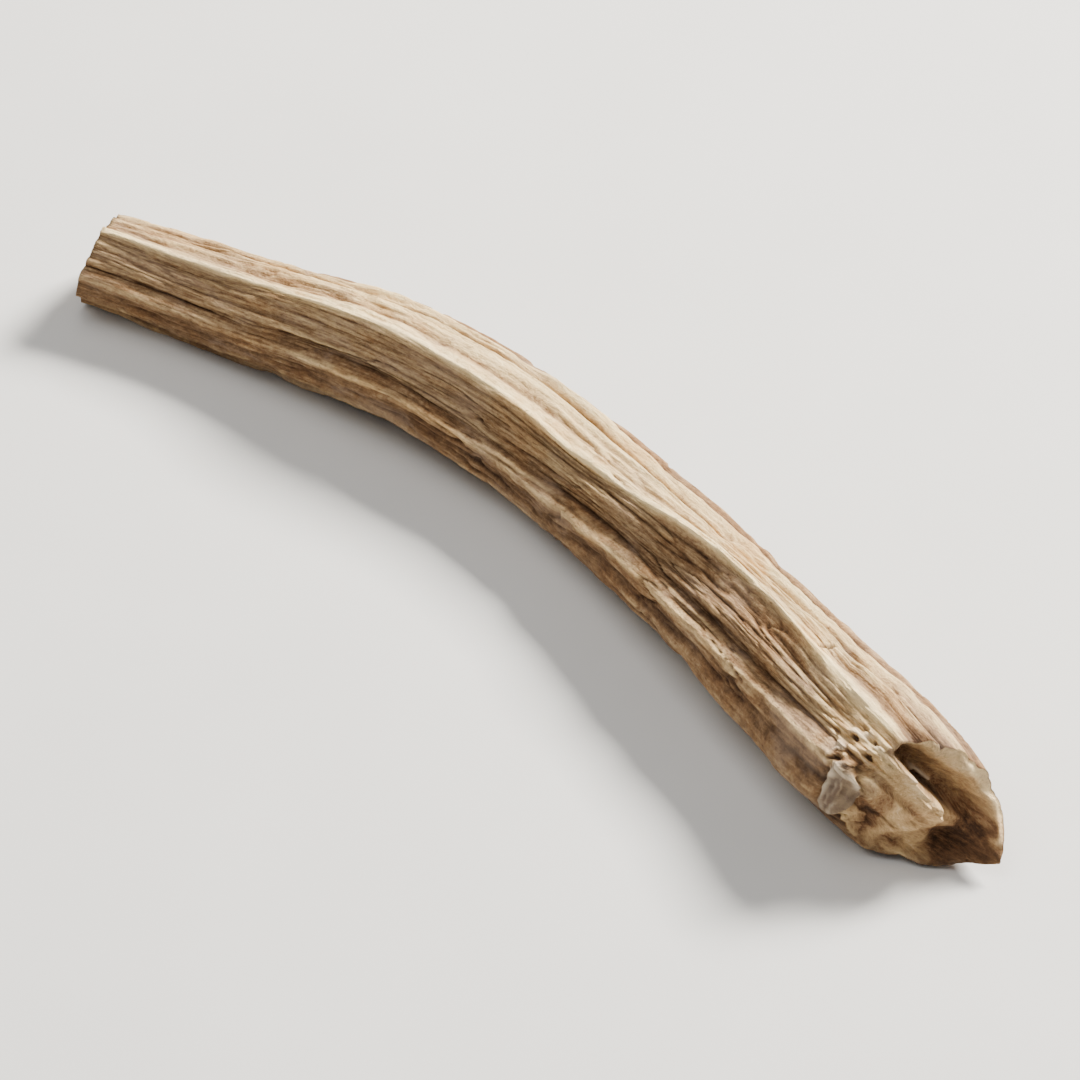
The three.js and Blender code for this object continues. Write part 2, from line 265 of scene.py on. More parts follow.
def rim_distance(angle, s):
    """How far along the piece it is to the rim of the broken face."""
    return LENGTH * (1 - s) - break_short(angle)


def cut_short(angle):
    """How far the cut sits in from the piece's start at each angle."""
    return CUT_SLANT * (1 + cos(angle - CUT_LOW_ANGLE)) / 2


def plain_radius(angle, s):
    """The section without its folds: an oval that turns in towards the break, on its front and back."""
    oval = 1 / np.hypot(cos(angle), sin(angle) / FLATNESS)
    to_rim = rim_distance(angle, s)
    front, back = np.maximum(cos(angle - ROUNDING_ANGLE), 0), np.maximum(cos(angle - LIP_ANGLE), 0)
    turned_in = RIM_ROUNDING * front * np.clip(1 - to_rim / ROUNDING_RUN, 0, 1) ** 2
    leaning = LIP_TAPER * back * np.clip(1 - to_rim / LIP_RUN, 0, 1) ** 1.5
    return tube_radius(s) * oval - turned_in - leaning


def skin_radius(fold, s, extra=None):
    """Angle and radius of the skin, with extra millimetres from the fine wrinkles if there are any."""
    angle, height = across_folds(fold, s)
    to_rim = rim_distance(angle, s)
    spread = ((angle - SCAR_ANGLE) / 18) ** 2 + (to_rim / 1.8) ** 2
    scar = SCAR_RISE * np.exp(-spread) * (1 + noise(angle / 9, s * 90, 40.5))
    folds = tube_radius(s) / WAIST_RADIUS * (height + furrows(fold, s, BROAD_WRINKLES))
    radius = plain_radius(angle, s) + folds + scar
    if extra is not None:
        radius = radius + extra(fold, s, angle, to_rim)
    return angle, radius


def middle_line():
    """The middle line at even steps: s, place, height and heading."""
    s = np.arange(LINE_STEPS + 1) / LINE_STEPS
    long_bend = LONG_BEND * np.minimum(s / LONG_BEND_END, 1)
    heading = THIN_HEADING - (long_bend + SHORT_BEND * smoothstep(s, *SHORT_BEND_SPAN))
    from_low_spot = np.min([np.abs(s - low) for low in REST_SPOTS], axis=0)
    z = tube_radius(s) * FLATNESS + REST_LIFT * smoothstep(from_low_spot / REST_REACH, 0, 1)
    x, y = (np.concatenate([[0], np.cumsum(way[:-1])]) * LENGTH / LINE_STEPS
            for way in (cos(heading), sin(heading)))
    return s, x, y, z, heading


LINE_S, LINE_X, LINE_Y, LINE_Z, LINE_HEADING = middle_line()


def to_space(s, angle, radius):
    """Points in millimetres. The last axis is x, y, z."""
    s = np.clip(s, 0, 1)
    x, y, z = (np.interp(s, LINE_S, v) for v in (LINE_X, LINE_Y, LINE_Z))
    side_x, side_y = (np.interp(s, LINE_S, v) for v in (-sin(LINE_HEADING), cos(LINE_HEADING)))
    out = radius * cos(angle)
    return np.stack([x + side_x * out, y + side_y * out, z + radius * sin(angle)], -1)


def skin_rings(steps, rings, extra=None):
    """s, angle and radius of the skin, one row per ring from the cut to the break, and each point's fold."""
    fold = np.arange(len(FOLDS) * steps)[None, :] / steps
    u = rings[:, None]
    cut, broken = 1 - smoothstep(u, 0, 0.06), smoothstep(u, BREAK_FROM, 1)

    def lean(angle):
        return u + (cut_short(angle) * cut - break_short(angle) * broken) / LENGTH

    near = across_folds(fold, u)[0]
    s = lean(across_folds(fold, lean(near))[0])
    angle, radius = skin_radius(fold, s, extra)
    return s, angle, radius, np.broadcast_to(fold, s.shape)


def face_frame(rho, angle):
    """Where a point is on the broken face: a along it, from the far tip at -1, and b across it."""
    return rho * cos(angle - FACE_ANGLE), rho * sin(angle - FACE_ANGLE)


def break_relief(rho, angle):
    """Depth of the broken face, outwards along the piece."""
    a, b = face_frame(rho, angle)
    inside = 1 - smoothstep(rho, 0.84, 1)
    stub_end = 1.6 * np.maximum(0.1 - b, 0) ** 1.5 + 0.9 * np.maximum(b - 0.4, 0) ** 1.5 - 0.46
    stub = smoothstep(a, stub_end, stub_end + 0.3) * (1 - smoothstep(a, 0.1, 1.1))
    core = CORE_RISE * stub * smoothstep(b, -0.32, -0.12) * (1 - 0.7 * np.clip(b + 0.1, 0, 1))
    wall = smoothstep(b, -0.78, -0.4) * (1 - smoothstep(b, -0.34, -0.2))
    crevice = CREVICE_DEPTH * wall * within(a, -0.6, 0.75, 0.14)
    scoop = SCOOP_DEPTH * np.exp(-(((a + 0.7) / 0.2) ** 2) - ((b - 0.05) / 0.5) ** 2)
    dish = DISH_DEPTH * np.exp(-(((a - 0.3) / 0.35) ** 2) - ((b - 0.72) / 0.2) ** 2)
    rough = 0.4 * noise(a * 4.5 + 9.5, b * 4.5 + 3.5, 80.5)
    return inside * (core - crevice - scoop - dish + rough)


def cut_relief(rho, angle):
    """Depth of the cut face, outwards along the piece."""
    a, b = rho * cos(angle), rho * sin(angle)
    cord = CORD_RISE * (1 - smoothstep(rho, CORD_RADIUS - 0.05, CORD_RADIUS + 0.05))
    shrink = 0.35 * within(rho, CORD_RADIUS, 0.85, 0.12)
    return (1 - smoothstep(rho, 0.9, 1)) * (cord - shrink + 0.15 * noise(a * 6 + 4.5, b * 6 + 8.5, 90.5))


# Small things on the skin, only on the fine mesh. Each is centred on (s, angle).
WOUND = (0.10, 66)  # long dark scar near the thin end
FLAKE_EDGE = (0.655, 92)  # ragged edge of loose skin on the main crest
CRACK = (0.80, 75)  # short crack across the grain
PIMPLES = [(0.375, 104), (0.41, 111), (0.30, 98), (0.52, 95), (0.62, 80), (0.235, 140), (0.71, 110)]

# Heights and depths of the small forms, in millimetres
STREAK_DEPTH = 0.24
CREASE_DEPTH = 0.07
HAIRLINE_DEPTH = 0.32
WOUND_RIM, WOUND_DEPTH = 0.14, 0.5
FLAKE_STEP = 0.2
CRACK_DEPTH = 0.28
PIMPLE_HEIGHT = 0.11
KNOB_HEIGHT, PIT_DEPTH = 0.3, 0.34
PATCH_LIFT, RIB_HEIGHT, PATCH_EDGE, PATCH_GROOVE = 0.12, 0.17, 0.2, 0.25
FILM_HEIGHT, SLIT_DEPTH = 0.7, 1.2
CHAMFER_RISE = 0.55
CORE_KNOB, RIFT_DEPTH = 0.35, 0.35

HAIRLINE_FOLD = 1  # the fold line that the hairline furrow follows
MEAN_RADIUS = 4.6  # of the cylinder that noise is wrapped round, where it has to close after a turn

# Places on the broken end, as (a, b) of face_frame, which runs on over the rim onto the skin. Sizes are
# half a length and half a width.
PATCH, PATCH_SIZE = (0.70, 0.68), (0.52, 0.21)  # papery flap of inner bark on the rim
SCAR, SCAR_SIZE = (1.2, 0.12), (0.55, 0.38)
SLIT = -0.25  # b of the narrow slit beside the core
TORN = (0.25, 0.6)  # a + b where the core's fibres turn from drawn out to torn aslant
DIAGONAL = 0.71  # cosine of 45 degrees


def spot(s, angle, centre, length, width):
    """1 at a place on the skin, falling to 0. length is in millimetres along it, width in degrees."""
    return np.exp(-(((s - centre[0]) * LENGTH / length) ** 2) - ((angle - centre[1]) / width) ** 2)


def end_place(angle, to_rim):
    """The place of a point of the skin in the frame of the broken face."""
    return face_frame(1 + to_rim / THICK_RADIUS, angle)


def near_rim(to_rim):
    """1 on the skin beside the broken face, falling to 0 where the forms of the end are over."""
    return 1 - smoothstep(to_rim, 2, 5)


def aslant(a, b, centre, size):
    """Where a point is in a long spot that lies aslant, as shares of its half length and half width."""
    a, b = a - centre[0], b - centre[1]
    return (b - a) * DIAGONAL / size[0], (a + b) * DIAGONAL / size[1]


def patch_at(a, b):
    """1 on the papery patch, 1 along its edge, 1 in the groove round it, and its ribs up and down."""
    away = np.hypot(*aslant(a, b, PATCH, PATCH_SIZE))
    away = away + 0.2 * noise(a * 4, b * 4, 91.5) + 0.1 * noise(a * 11, b * 11, 94.5)
    edge, groove = bell(away - 0.84, 0.15), bell(away - 1.14, 0.13)
    ribs = 0.6 * noise((a + b) * 15, (b - a) * 2.5, 57.5) + 0.5 * noise((a + b) * 32, (b - a) * 5, 58.5)
    return 1 - smoothstep(away, 0.88, 1.02), edge, groove, ribs


def scar_at(a, b):
    """1 on the scar, about 1 on its knobs, and 1 in its pits."""
    a, b = a + 0.07 * noise(a * 8, b * 8, 61.5), b + 0.07 * noise(a * 8, b * 8, 62.5)
    away = np.hypot(*aslant(a, b, SCAR, SCAR_SIZE)) + 0.3 * noise(a * 5, b * 5, 92.5)
    knobs = smoothstep(np.abs(noise(a * 7 + 1.5, b * 7, 51.5)), 0.05, 0.45)
    knobs = knobs + 0.4 * noise(a * 15, b * 15, 55.5)
    pits = smoothstep(noise(a * 9 + 3.5, b * 9, 53.5), 0.2, 0.5)
    return 1 - smoothstep(away, 0.5, 1.3), knobs, pits


def end_lumps(a, b):
    """Height of the scar's knobs and of the patch with its edge and ribs."""
    scar, knobs, pits = scar_at(a, b)
    patch, edge, groove, ribs = patch_at(a, b)
    lifted = patch * (PATCH_LIFT + RIB_HEIGHT * ribs) + PATCH_EDGE * edge - PATCH_GROOVE * groove
    return scar * (KNOB_HEIGHT * knobs - PIT_DEPTH * pits) + lifted


def hairline(fold, s):
    """The hairline furrow along the flat top, with gaps."""
    aside = fold - HAIRLINE_FOLD + 0.3 * noise(s * 20, 1.5, 5.5)
    return -HAIRLINE_DEPTH * bell(aside, 0.13) * smoothstep(noise(s * 13, 4.5, 6.5), -0.6, -0.2)


def loose_skin(s, angle):
    """The step down from the ragged edge of loose skin on the main crest."""
    ragged = noise(s * 190, 3.5, 12.5) + 0.5 * noise(s * 420, 7.5, 12.5)
    edge = FLAKE_EDGE[1] + 3 * ragged
    step = smoothstep(angle, edge + 1.5, edge + 3)
    return -FLAKE_STEP * step * spot(s, angle, (FLAKE_EDGE[0], FLAKE_EDGE[1] + 6), 6, 9)


def crack_line(s, angle, width):
    """1 in the crack across the grain, falling to 0 over that many millimetres along the piece."""
    aside = (s - CRACK[0]) * LENGTH + 0.02 * (angle - CRACK[1]) + 0.12 * noise(angle / 4, 2.5, 33.5)
    return bell(aside, width) * within(angle, CRACK[1] - 7, CRACK[1] + 8, 2)


def skin_texture(fold, s):
    """Fine wrinkles, long streak grooves, cross creases and grain."""
    along = s * LENGTH
    turn = fold_turn(fold)
    x, y = MEAN_RADIUS * np.cos(turn), MEAN_RADIUS * np.sin(turn)
    wandering = fold + 0.45 * noise(s * 10, fold * 0.45, 71.5)
    uneven = 1 + 0.7 * noise(x * 0.35, y * 0.35, along * 0.11 + 2.5)
    fine = furrows(wandering, s, FINE_WRINKLES) * uneven
    turn = fold_turn(wandering)
    lines = noise(6.4 * np.cos(turn) + 7.5, 6.4 * np.sin(turn), along * 0.1)
    streaks = -STREAK_DEPTH * (1 - smoothstep(np.abs(lines), 0, 0.085))
    streaks = streaks * smoothstep(noise(x * 0.5, y * 0.5, along * 0.1 + 31.5), -0.25, 0.2)
    across = np.abs(noise(x * 0.8, y * 0.8 + 3.5, along * 1.5))
    creases = -CREASE_DEPTH * (1 - smoothstep(across, 0, 0.12))
    creases = creases * smoothstep(noise(x * 0.7, y * 0.7 + 8.5, along * 0.22), 0.05, 0.4)
    grain = 0.05 * noise(x * 2.4, y * 2.4, along * 1.3) + 0.08 * noise(x * 0.9, y * 0.9, along * 0.45 + 9.5)
    return fine + streaks + creases + grain


def fine_skin(fold, s, angle, to_rim):
    """Millimetres that the small wrinkles, pits and marks add to the skin."""
    near_end = near_rim(to_rim)
    texture = skin_texture(fold, s) * (1 - 0.6 * near_end)
    wound = WOUND_RIM * spot(s, angle, WOUND, 2.2, 8) - WOUND_DEPTH * spot(s, angle, WOUND, 1.6, 5)
    crack = -CRACK_DEPTH * crack_line(s, angle, 0.13)
    pimples = sum(PIMPLE_HEIGHT * spot(s, angle, place, 0.5, 5) for place in PIMPLES)
    lumps = near_end * end_lumps(*end_place(angle, to_rim))
    return texture + hairline(fold, s) + wound + loose_skin(s, angle) + crack + pimples + lumps


def face_rings(edge, count, relief, outwards):
    """Rings of an end face, from just inside the skin's last ring towards the middle."""
    s, angle, radius = edge
    rho = (1 - np.arange(1, count) / count)[:, None]
    middle = s.mean()
    depth = outwards * relief(rho, angle) / LENGTH
    even = lerp(plain_radius(angle, s), radius, smoothstep(rho, 0.4, 1))
    shape = (count - 1, len(s))
    points = to_space(lerp(middle, s, rho) + depth, np.broadcast_to(angle, shape), even * rho)
    here = np.zeros(1)
    centre = to_space(middle + outwards * relief(here, here) / LENGTH, here, here)[0]
    return points, centre, np.broadcast_to(rho, shape), np.broadcast_to(angle, shape)


def film_at(a, b):
    """1 on the film of skin that runs along the far side of the slit."""
    line = SLIT - 0.08 + 0.4 * np.maximum(a - 0.15, 0) + 0.015 * noise(a * 9, 1.5, 3.5)
    return bell(b - line, 0.03) * within(a, -0.1, 0.6, 0.08)


def slit_at(a, b):
    """1 in the narrow slit beside the core."""
    return bell(b - SLIT + 0.02 * noise(a * 4, 2.5, 15.5), 0.04) * within(a, -0.36, 0.5, 0.1)


def lip_at(a, b, rho):
    """1 on the strip along the lip's edge, a slope that falls from 1 to 0 across that strip to the rim, and
    1 on the lip's side of the face."""
    inner = 0.88 - 0.14 * smoothstep(a, -0.85, -0.2) + 0.02 * noise(a * 7, b * 7, 14.5)
    side = (1 - smoothstep(b, -0.4, -0.15)) * smoothstep(a, -0.99, -0.88)
    edge = side * (1 - 0.75 * smoothstep(a, -0.1, 0.4))
    return edge * smoothstep(rho, inner - 0.05, inner), edge * (1 - smoothstep(rho, inner, 1)), side


def rifts_at(a, b, start, width):
    """1 in the rifts between the core's fibres, which begin at that a."""
    return (1 - smoothstep(np.abs(noise(a * 1.6 + 4.5, b * 5, 25.5)), 0, width)) * within(a, start, 0.8, 0.2)


def fine_break_relief(rho, angle):
    """The broken face with its torn fibres, narrow slit, film of skin beside it, knobs and lumps."""
    a, b = face_frame(rho, angle)
    inside = 1 - smoothstep(rho, 0.93, 1)
    on_core = smoothstep(b, -0.22, -0.1) * smoothstep(a, -0.4, -0.2)
    fibres = 0.22 * (np.abs(noise(a * 3.5, b * 13, 15.5)) - 0.3) + 0.12 * noise(a * 12, b * 14, 44.5)
    torn = 0.3 * (np.abs(noise((a + b) * 6, (b - a) * 1.8, 17.5)) - 0.3)
    fibres = lerp(fibres, torn, smoothstep(a + b, *TORN))
    knobs = CORE_KNOB * smoothstep(noise(a * 6 + 2.5, b * 6, 65.5), 0.1, 0.7)
    rifts = RIFT_DEPTH * rifts_at(a, b, -0.2, 0.1)
    strip, chamfer, side = lip_at(a, b, rho)
    wall = side * (1 - strip) * (0.14 * noise(a * 4, b * 13, 35.5) + 0.08 * noise(a * 11, b * 11, 36.5))
    extra = on_core * (fibres + knobs - rifts) + FILM_HEIGHT * film_at(a, b) - SLIT_DEPTH * slit_at(a, b)
    extra += CHAMFER_RISE * chamfer * strip + wall + 0.08 * noise(a * 9, b * 9, 25.5)
    extra = extra * (1 - patch_at(a, b)[0])
    return break_relief(rho, angle) + inside * extra + (1 - smoothstep(rho, 0.88, 1)) * end_lumps(a, b)


def fine_cut_relief(rho, angle):
    """The cut face with its rays, the pores of the shrunken flesh and the saw's lines."""
    a, b = rho * cos(angle), rho * sin(angle)
    rays = 0.07 * noise(cos(angle) * 6, sin(angle) * 6, rho * 2)
    pores = -0.12 * smoothstep(noise(a * 16, b * 16, 5.5), 0.35, 0.7)
    saw = 0.05 * noise(a * 3, b * 24, 6.5)
    return cut_relief(rho, angle) + (1 - smoothstep(rho, 0.92, 1)) * (rays + pores + saw)


def box_shift():
    """What the CAD takes off its points to put its box's middle at x = y = 0 and its flats at z = 0."""
    s, angle, radius, _ = skin_rings(CAD_STEPS, np.arange(CAD_RINGS + 1) / CAD_RINGS)
    points = to_space(s, angle, radius).reshape(-1, 3)
    low, high = points.min(0), points.max(0)
    return np.array([(low[0] + high[0]) / 2, (low[1] + high[1]) / 2, low[2] + REST_SINK])


SHIFT = box_shift()


def settle(points):
    """Points in metres in the part's frame, with the lowest folds pressed flat."""
    points = points - SHIFT
    points[..., 2] = np.maximum(points[..., 2], 0)
    return points / 1000


# How brown the skin is round the piece, as (fold, tone): 0 is the palest and 1 the darkest. It is partly the
# skin's own colour and partly painted light: the brown of the flank and lower flank is partly painted shade,
# and the main crest's pale line is partly a painted highlight.
SKIN_TONES = [
    (0, 0.36), (0.8, 0.3), (1, 0.44), (1.2, 0.24), (1.7, 0.2), (2.4, 0.3), (3.2, 0.32), (3.75, 0.14),  # top
    # main crest: pale worn skin, partly a painted highlight
    (4.05, 0.0),  # main crest
    # flank: brown skin, partly painted shade
    (4.25, 0.34), (4.6, 0.5), (5, 0.56), (6, 0.6), (7, 0.62), (8, 0.62), (8.6, 0.62), (9, 0.66),  # flank
    # lower flank: brown skin, partly painted shade
    (9.6, 0.7), (9.9, 0.74), (10.05, 0.56), (10.2, 0.76), (10.8, 0.84), (12, 0.8), (13, 0.84),  # lower flank
    (14, 0.7), (15, 0.84), (16, 0.76), (17, 0.94), (18, 0.84), (19, 0.98), (20, 0.86), (21, 1.0),
    (22, 0.84), (23, 0.88), (23.5, 0.62), (24, 0.36),
]
TOP, FLANK = (0.4, 3.6), (4.2, 8.7)  # the folds that they lie between

# The tints of each point, which the material reads, and their values at the middle of the cut face and of the
# broken face. In order: how deep it lies in a furrow, which the material paints as shade in the furrows and
# as a highlight on the crests; how brown it is, on the skin partly painted shade; dark below 0 and pale above
# 0, where the dark is partly real marks and partly painted shade in the scoop, along the lower rim and in the
# groove round the patch; 1 where the flesh is bared; 1 on the papery patch.
FACE_RELIEF_SHADE = 0.4
MIDDLE_TINTS = {
    "relief_shade": (FACE_RELIEF_SHADE, FACE_RELIEF_SHADE),
    "tone": (0.2, 0.4),
    "stain_and_shade": (0, 0),
    "flesh": (1, 1),
    "papery": (0, 0),
}
BROAD_BLUR, SMALL_BLUR = 20, 4  # points to each side that hollows of two sizes are measured against
FACE_PLACES = (2, 3)  # how far past the ends the faces' middles read the material's noise


def blur_round(values, width):
    """Each ring's values smoothed round the section, with a window of that many points to each side."""
    total = sum(np.roll(values, k, axis=1) for k in range(-width, width + 1))
    return total / (2 * width + 1)


def relief_shade_at(s, angle, radius):
    """How far each point lies in a furrow, from folds and from small wrinkles. The material paints shade by
    it in the furrows and a highlight on the crests.
    """
    bare = radius - plain_radius(angle, s)
    broad = bare - blur_round(bare, BROAD_BLUR)
    small = bare - blur_round(bare, SMALL_BLUR)
    return np.clip(0.45 - 0.45 * broad - 2.1 * small, 0, 1)


def skin_tone(fold, s):
    """How brown the skin is, with the painted shade and highlight of SKIN_TONES. The top is browner near both
    ends, and the flank is paler near the break.
    """
    strayed = fold + 0.22 * noise(s * 16, fold * 0.7, 7.5) + 0.14 * noise(s * 70, fold * 1.9, 8.5)
    tone = np.interp(strayed % len(FOLDS), *np.transpose(SKIN_TONES))
    flank = within(fold, *FLANK, 0.3)
    tone = tone + flank * (0.1 * within(s, 0.6, 0.78, 0.04) - 0.34 * smoothstep(s, 0.8, 0.9))
    top = within(fold, *TOP, 0.3)
    tone += top * (0.24 * (1 - smoothstep(s, 0.08, 0.34)) + 0.3 * smoothstep(s, 0.76, 0.88))
    return tone + 0.22 * noise(s * 26, fold * 1.6, 10.5) * (1 - within(s, 0.3, 0.72, 0.1)) * top


def end_marks_and_shadow(a, b):
    """Dark below 0 and pale above 0, on the scar and on the patch's edge and groove. The groove's dark line
    is painted shadow of the patch's lifted edge.
    """
    scar, knobs, pits = scar_at(a, b)
    patch, edge, groove, ribs = patch_at(a, b)
    return scar * (0.65 * knobs + 0.06 - 1.1 * pits) + 0.35 * edge - 0.6 * groove + patch * (0.8 * ribs - 0.1)


def skin_looks(fold, s, angle, radius):
    """The tints of the skin."""
    to_rim = rim_distance(angle, s)
    near_end = near_rim(to_rim)
    a, b = end_place(angle, to_rim)
    by_crevice = within(angle, 50, 100, 8) * bell(to_rim, 1.4)
    stain_and_shade = 0.3 * spot(s, angle, WOUND, 2.6, 10) - 1.0 * spot(s, angle, WOUND, 1.7, 5)
    stain_and_shade -= 0.9 * crack_line(s, angle, 0.16)
    stain_and_shade += near_end * end_marks_and_shadow(a, b)
    return {
        "relief_shade": relief_shade_at(s, angle, radius),
        "tone": skin_tone(fold, s) + 0.45 * by_crevice,
        "stain_and_shade": stain_and_shade,
        "flesh": np.zeros_like(s),
        "papery": near_end * patch_at(a, b)[0],
    }


def break_tone(a, b):
    """How brown the broken face is: a dark wall beside the crevice, and the paler core with its fibres."""
    ragged = 0.1 * noise(a * 7 + 5.5, b * 7, 27.5)
    core = smoothstep(b, -0.24, -0.12) * smoothstep(a + ragged + 0.7 * np.clip(b - 0.1, 0, 0.6), -0.64, -0.34)
    torn = noise((a + b) * 7, (b - a) * 1.6, 17.5)
    grain = lerp(noise(a * 2.5, b * 12, 26.5), torn, smoothstep(a + b, *TORN))
    wall = lerp(0.74, 0.44, smoothstep(-b, 0.35, 0.75)) + 0.16 * noise(a * 4, b * 13, 24.5)
    wall += 0.22 * smoothstep(-a, 0.4, 0.65) * smoothstep(b, -0.5, -0.2)
    tone = lerp(wall, 0.38 + 0.3 * grain, core)
    tone -= 0.3 * bell(b + 0.12, 0.12) * within(a, -0.25, 0.6, 0.12)
    tone += 0.2 * within(a, -0.55, -0.25, 0.08) * smoothstep(b, -0.2, 0)
    tone += 0.3 * bell(a + b - 0.72, 0.12) * within(b, 0.25, 0.9, 0.1)
    return tone + 0.3 * rifts_at(a, b, -0.3, 0.12) * core


def break_looks(rho, angle):
    """The tints of the broken face."""
    a, b = face_frame(rho, angle)
    edge = rho + 0.06 * noise(a * 6, b * 6, 14.5)
    strip, chamfer, _ = lip_at(a, b, rho)
    strip = strip * (1 - smoothstep(chamfer, 0.4, 1.0))
    tone = lerp(break_tone(a, b), 0.16 + 0.2 * noise(a * 9, b * 9, 28.5), strip)
    # Painted shade in the scoop near the tip, where the inner wall lies in shadow.
    scoop = np.exp(-(((a + 0.8) / 0.2) ** 2) - ((b + 0.04) / 0.34) ** 2) * (1 - strip)
    # Painted shade along the lower rim of the broken face.
    rim_shade = smoothstep(edge, 0.8, 0.95) * within(b, 0.2, 1.2, 0.1) * (1 - smoothstep(a, -0.1, 0.2))
    stain_and_shade = 0.8 * film_at(a, b) - slit_at(a, b) - 0.45 * scoop - 0.2 * rim_shade + 0.3 * strip
    skin_reach = 0.95 - 0.26 * smoothstep(a, 0.1, 0.7)
    return {
        "relief_shade": np.full(rho.shape, FACE_RELIEF_SHADE),
        "tone": tone,
        "stain_and_shade": stain_and_shade + end_marks_and_shadow(a, b),
        "flesh": (1 - smoothstep(edge, skin_reach - 0.1, skin_reach + 0.06)) * (1 - strip),
        "papery": patch_at(a, b)[0],
    }


def cut_looks(rho, angle):
    """The tints of the cut face: its pale cord in a brown ring, and rays from there to its brown edge."""
    cord = 1 - smoothstep(rho, CORD_RADIUS - 0.04, CORD_RADIUS + 0.04)
    ring = bell(rho - CORD_RADIUS, 0.06)
    rays = noise(cos(angle) * 9, sin(angle) * 9, rho * 1.5)
    return {
        "relief_shade": np.full(rho.shape, FACE_RELIEF_SHADE),
        "tone": 0.42 - 0.2 * cord + 0.35 * ring + 0.2 * rays + 0.3 * smoothstep(rho, 0.8, 1),
        "stain_and_shade": np.zeros(rho.shape),
        "flesh": np.ones(rho.shape),
        "papery": np.zeros(rho.shape),
    }


def whole(on_cut, on_skin, on_break, at_middles):
    """Values in the order of the mesh's points: the rings from the cut face's middle along the skin to
    the broken face's middle, and then the two middle points."""
    rings = np.concatenate([on_cut[::-1], on_skin, on_break])
    return np.concatenate([rings.reshape(-1, *rings.shape[2:]), at_middles])


def closed_faces(count, around):
    """Faces of a closed tube: quads between its rings, and a fan round the middle point of each end."""
    here = np.arange(around)
    after = (here + 1) % around
    rows = np.arange(count - 1)[:, None] * around
    first, beside = (rows + here).ravel(), (rows + after).ravel()
    quads = np.stack([first, beside, beside + around, first + around], -1)
    last, cut_middle = (count - 1) * around, count * around
    cut_fan = np.stack([np.full(around, cut_middle), after, here], -1)
    break_fan = np.stack([last + here, last + after, np.full(around, cut_middle + 1)], -1)
    return quads.tolist() + cut_fan.tolist() + break_fan.tolist()


def noise_places(fold, s, cut_rho, break_rho):
    """Where the material reads its noise: on the piece made straight, with z along it in millimetres."""
    turn = fold_turn(fold[0])
    past_cut, past_break = FACE_PLACES

    def places(share, along):
        reach = MEAN_RADIUS * share
        return np.stack([reach * np.cos(turn), reach * np.sin(turn), along], -1)

    on_cut = s[0] * LENGTH * cut_rho - past_cut * (1 - cut_rho)
    on_break = lerp(LENGTH, s[-1] * LENGTH, smoothstep(break_rho, 0.1, 1)) + past_break * (1 - break_rho)
    return whole(
        places(cut_rho, on_cut),
        places(np.ones_like(s), s * LENGTH),
        places(break_rho, on_break),
        [(0, 0, -past_cut), (0, 0, LENGTH + past_break)],
    )


def root_piece():
    rings = np.concatenate([np.linspace(0, END_FROM, FINE_RINGS, endpoint=False),
                            np.linspace(END_FROM, 1, END_RINGS)])
    s, angle, radius, fold = skin_rings(FINE_STEPS, rings, fine_skin)
    cut = face_rings((s[0], angle[0], radius[0]), CUT_RINGS, fine_cut_relief, -1)
    broken = face_rings((s[-1], angle[-1], radius[-1]), BREAK_RINGS, fine_break_relief, 1)
    cut_points, cut_middle, cut_rho, cut_angle = cut
    break_points, break_middle, break_rho, break_angle = broken

    points = whole(cut_points, to_space(s, angle, radius), break_points, [cut_middle, break_middle])
    count = len(cut_points) + len(s) + len(break_points)
    mesh = bpy.data.meshes.new("root_skin")
    mesh.from_pydata(settle(points).tolist(), [], closed_faces(count, s.shape[1]))
    mesh.shade_smooth()

    looks = [
        cut_looks(cut_rho, cut_angle),
        skin_looks(fold, s, angle, radius),
        break_looks(break_rho, break_angle),
    ]
    for name, at_middles in MIDDLE_TINTS.items():
        values = whole(*(tints[name] for tints in looks), at_middles)
        layer = mesh.attributes.new(name, "FLOAT", "POINT")
        layer.data.foreach_set("value", np.clip(values, -1, 1).astype(np.float32))
    layer = mesh.attributes.new("skin_place", "FLOAT_VECTOR", "POINT")
    places = noise_places(fold, s, cut_rho, break_rho)
    layer.data.foreach_set("vector", places.astype(np.float32).ravel())

    piece = bpy.data.objects.new("root_skin", mesh)
    bpy.context.collection.objects.link(piece)
    return piece


